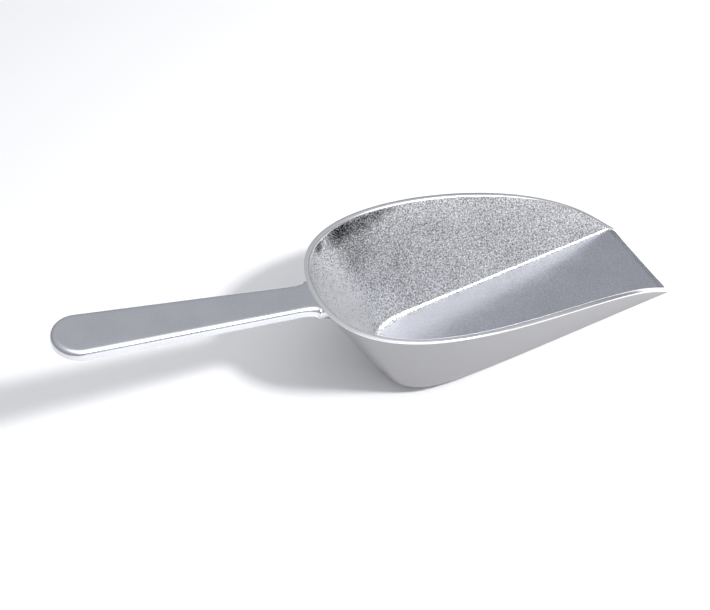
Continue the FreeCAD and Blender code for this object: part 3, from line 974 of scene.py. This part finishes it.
# Breaks on the lip's front edge, and on the bevel's foot back and up.
EDGE_BREAK = 0.3 * MM
BEVEL_BREAK_BACK = 0.2 * MM
BEVEL_BREAK_UP = 0.1 * MM
LIP_TOP, LIP_FRONT = 0, 1
# The lip's strips, counted round its profile, that are polished.
LIP_FRONT_STRIPS = (1, 2)


class SCOOP_OT_floor(ScoopOperator, bpy.types.Operator):
    """Builds the flat floor plate and the ground lip along the front edge"""

    bl_idname = "scoop.floor"
    bl_label = "Floor and Front Lip"

    def build(self, scene):
        sizes = scene.scoop_sizes
        bowl = Bowl(sizes)
        data = run_tree("bowl_floor_plate", floor_plate_tree(), {
            "Front": LIP_X,
            "Round Centre": bowl.round_x,
            "Rear Run": bowl.floor_rear_run - sizes.rear_seam,
            "Half Width": FLOOR_PLATE_HALF,
            "Bluntness": sizes.seam_bluntness,
            "Thickness": FLOOR_TOP,
            "Points": PLATE_POINTS,
        })
        if not data.polygons:
            raise RuntimeError("the floor plate's tree gave no faces")
        add_piece("bowl_floor_plate", data, [METALS["floor"]], "bowl_floor")

        profile = [
            (LIP_X, 0.0),
            (FRONT_X - EDGE_BREAK, 0.0),
            (FRONT_X, EDGE_BREAK),
            (FRONT_X, sizes.bevel_edge - EDGE_BREAK),
            (FRONT_X - BEVEL_BREAK_BACK, sizes.bevel_edge + BEVEL_BREAK_UP),
            (FRONT_X - sizes.bevel_length, FLOOR_TOP),
            (LIP_X, FLOOR_TOP),
        ]
        rings = []
        for i in range(LIP_STEPS + 1):
            across = FLOOR_PLATE_HALF * (2 * i / LIP_STEPS - 1)
            rings.append([Vector((x, across, z)) for x, z in profile])

        def lip_finish(strip):
            return LIP_FRONT if strip in LIP_FRONT_STRIPS else LIP_TOP

        lip = swept_mesh("front_lip_bevel", rings, lip_finish)
        add_piece("front_lip_bevel", lip, [METALS["floor"], METALS["rim"]], "front_lip")


class SCOOP_OT_walls(ScoopOperator, bpy.types.Operator):
    """Builds the rear wall and the two side walls with their heel and fillet rounds"""

    bl_idname = "scoop.walls"
    bl_label = "Walls"

    def build(self, scene):
        sizes = scene.scoop_sizes
        bowl = Bowl(sizes)
        finishes = [METALS["cast"], METALS["outside"], METALS["floor"]]
        zones = {
            "rear_wall": bowl.rear_sections(REAR_WALL_STEPS),
            "left_wall": bowl.side_sections(SIDE_WALL_STEPS, 1),
            "right_wall": bowl.side_sections(SIDE_WALL_STEPS, -1),
        }
        for node, sections in zones.items():
            rings = [wall_ring(section, sizes) for section in sections]
            data = swept_mesh(node + "_shell", rings, wall_finish)
            add_piece(node + "_shell", data, finishes, node)


class SCOOP_OT_rim(ScoopOperator, bpy.types.Operator):
    """Builds the polished rim in one run from front corner to front corner"""

    bl_idname = "scoop.rim"
    bl_label = "Polished Rim"

    def build(self, scene):
        sizes = scene.scoop_sizes
        bowl = Bowl(sizes)
        right = list(reversed(bowl.side_sections(SIDE_RIM_STEPS, -1)))
        left = bowl.side_sections(SIDE_RIM_STEPS, 1)
        sections = right[:-1] + bowl.rear_sections(REAR_RIM_STEPS) + left[1:]
        rings = [rim_ring(section, sizes) for section in sections]
        data = swept_mesh("polished_rim_bead", rings, rim_finish)
        finishes = [METALS["cast"], METALS["outside"], METALS["rim"]]
        add_piece("polished_rim_bead", data, finishes, "rim_band")


class SCOOP_OT_handle(ScoopOperator, bpy.types.Operator):
    """Builds the flat handle with its rounded end, and the neck that joins it to the bowl"""

    bl_idname = "scoop.handle"
    bl_label = "Handle and Neck"

    def build(self, scene):
        sizes = scene.scoop_sizes
        handle = Handle(sizes)
        grip = swept_mesh("handle_grip_bar", grip_rings(handle), lambda strip: HANDLE)
        add_piece("handle_grip_bar", grip, [METALS["handle"]], "handle_grip")
        neck = swept_mesh("handle_neck_root", neck_rings(handle, Bowl(sizes)), lambda strip: HANDLE)
        underside = -sizes.handle_thickness - UNDERSIDE_MARGIN
        for face in neck.polygons:
            if (face.center - handle.origin).dot(handle.square) < underside:
                face.material_index = UNDER_HANDLE
        finishes = [METALS["handle"], METALS["outside"]]
        add_piece("handle_neck_root", neck, finishes, "handle_neck")


class SCOOP_OT_stage(bpy.types.Operator):
    """Sets up the pale tabletop, the soft light and the camera"""

    bl_idname = "scoop.stage"
    bl_label = "Studio Stage"

    def execute(self, context):
        stage = context.scene.scoop_stage
        make_table(stage)
        make_lights(stage)
        make_world()
        make_camera(stage)
        context.scene.view_settings.view_transform = "Standard"
        return {"FINISHED"}


TABLE_HALF = 4.0
TABLE_DROP = 0.02 * MM
SOFTBOX_X, SOFTBOX_Y = 0.2, -0.45
KEY_DIRECTION = Vector((35.0, -45.0, 60.0)).normalized()
# Surroundings: low and high colours, greys at heights between them, and the greys' blue tint.
WORLD_LOW = (0.16, 0.165, 0.18, 1)
WORLD_HIGH = (0.75, 0.75, 0.76, 1)
WORLD_GREYS = ((0.25, 0.33), (0.5, 0.48), (0.8, 0.52))
WORLD_TINT = (0.97, 0.985, 1.05)
SENSOR_WIDTH = 36.0
CLIP_START = 0.01


def make_table(stage):
    """A wide plain tabletop just under the scoop's floor."""
    data = bpy.data.meshes.new("table_top")
    turns = ((-1, -1), (1, -1), (1, 1), (-1, 1))
    corners = [(x * TABLE_HALF, y * TABLE_HALF, -TABLE_DROP) for x, y in turns]
    data.from_pydata(corners, [], [(0, 1, 2, 3)])
    material = bpy.data.materials.new("Pale tabletop")
    material.use_nodes = True
    shader = material.node_tree.nodes["Principled BSDF"]
    shader.inputs["Base Color"].default_value = (*stage.floor_colour, 1)
    shader.inputs["Roughness"].default_value = 0.9
    shader.inputs["Specular IOR Level"].default_value = 0.1
    data.materials.append(material)
    table = bpy.data.objects.new("table_top", data)
    bpy.context.scene.collection.objects.link(table)


def add_lamp(name, location, size, power):
    """A square lamp that points at the scoop."""
    light = bpy.data.lights.new(name, "AREA")
    light.shape = "SQUARE"
    light.size = size
    light.energy = power
    lamp = bpy.data.objects.new(name, light)
    lamp.location = location
    lamp.rotation_euler = (-location).to_track_quat("-Z", "Y").to_euler()
    bpy.context.scene.collection.objects.link(lamp)


def make_lights(stage):
    overhead = Vector((SOFTBOX_X, SOFTBOX_Y, stage.softbox_height))
    add_lamp("softbox", overhead, stage.softbox_size, stage.softbox_power)
    add_lamp("key_lamp", KEY_DIRECTION * stage.key_distance, stage.key_size, stage.key_power)


def make_world():
    """Soft surroundings: grey-blue low down and lighter overhead."""
    world = bpy.data.worlds.new("Studio")
    world.use_nodes = True
    bpy.context.scene.world = world
    tree = world.node_tree
    background = tree.nodes["Background"]
    direction = tree.nodes.new("ShaderNodeTexCoord").outputs["Generated"]
    split = tree.nodes.new("ShaderNodeSeparateXYZ")
    ramp = tree.nodes.new("ShaderNodeValToRGB")
    stops = ramp.color_ramp.elements
    stops[0].position = 0.0
    stops[0].color = WORLD_LOW
    stops[1].position = 1.0
    stops[1].color = WORLD_HIGH
    for position, grey in WORLD_GREYS:
        stop = stops.new(position)
        stop.color = (*(grey * tint for tint in WORLD_TINT), 1)
    wire(tree, (direction, split.inputs[0]), (split.outputs["Z"], ramp.inputs[0]),
         (ramp.outputs[0], background.inputs["Color"]))


def make_camera(stage):
    """Camera aimed by azimuth, elevation and roll."""
    azimuth, elevation, roll = stage.azimuth, stage.elevation, stage.roll
    back = Vector((
        math.sin(azimuth) * math.cos(elevation),
        -math.cos(azimuth) * math.cos(elevation),
        math.sin(elevation),
    ))
    right = Vector((math.cos(azimuth), math.sin(azimuth), 0))
    up = back.cross(right)
    rolled_right = right * math.cos(roll) - up * math.sin(roll)
    rolled_up = right * math.sin(roll) + up * math.cos(roll)
    lens = bpy.data.cameras.new("photo_camera")
    lens.lens = stage.focal
    lens.sensor_width = SENSOR_WIDTH
    lens.clip_start = CLIP_START
    camera = bpy.data.objects.new("photo_camera", lens)
    turn = Matrix((rolled_right, rolled_up, back)).transposed()
    camera.matrix_world = Matrix.Translation(Vector(stage.aim) + back * stage.distance) @ turn.to_4x4()
    bpy.context.scene.collection.objects.link(camera)
    bpy.context.scene.camera = camera


class SCOOP_PT_panel(bpy.types.Panel):
    """Scoop pieces, sizes and stage"""

    bl_idname = "SCOOP_PT_panel"
    bl_label = "Ice Scoop"
    bl_space_type = "VIEW_3D"
    bl_region_type = "UI"
    bl_category = "Scoop"

    def draw(self, context):
        for operator in OPERATORS:
            self.layout.operator(operator.bl_idname)
        for group in (context.scene.scoop_sizes, context.scene.scoop_finish, context.scene.scoop_stage):
            box = self.layout.box()
            for name in group.__annotations__:
                box.prop(group, name)


OPERATORS = (SCOOP_OT_floor, SCOOP_OT_walls, SCOOP_OT_rim, SCOOP_OT_handle, SCOOP_OT_stage)
GROUPS = (ScoopSizes, ScoopFinish, ScoopStage)


def register():
    for cls in (*GROUPS, *OPERATORS, SCOOP_PT_panel):
        bpy.utils.register_class(cls)
    bpy.types.Scene.scoop_sizes = PointerProperty(type=ScoopSizes)
    bpy.types.Scene.scoop_finish = PointerProperty(type=ScoopFinish)
    bpy.types.Scene.scoop_stage = PointerProperty(type=ScoopStage)


def unregister():
    del bpy.types.Scene.scoop_stage
    del bpy.types.Scene.scoop_finish
    del bpy.types.Scene.scoop_sizes
    for cls in reversed((*GROUPS, *OPERATORS, SCOOP_PT_panel)):
        bpy.utils.unregister_class(cls)


def main():
    register()
    for operator in OPERATORS:
        group, name = operator.bl_idname.split(".")
        getattr(getattr(bpy.ops, group), name)()


if __name__ == "__main__":
    main()
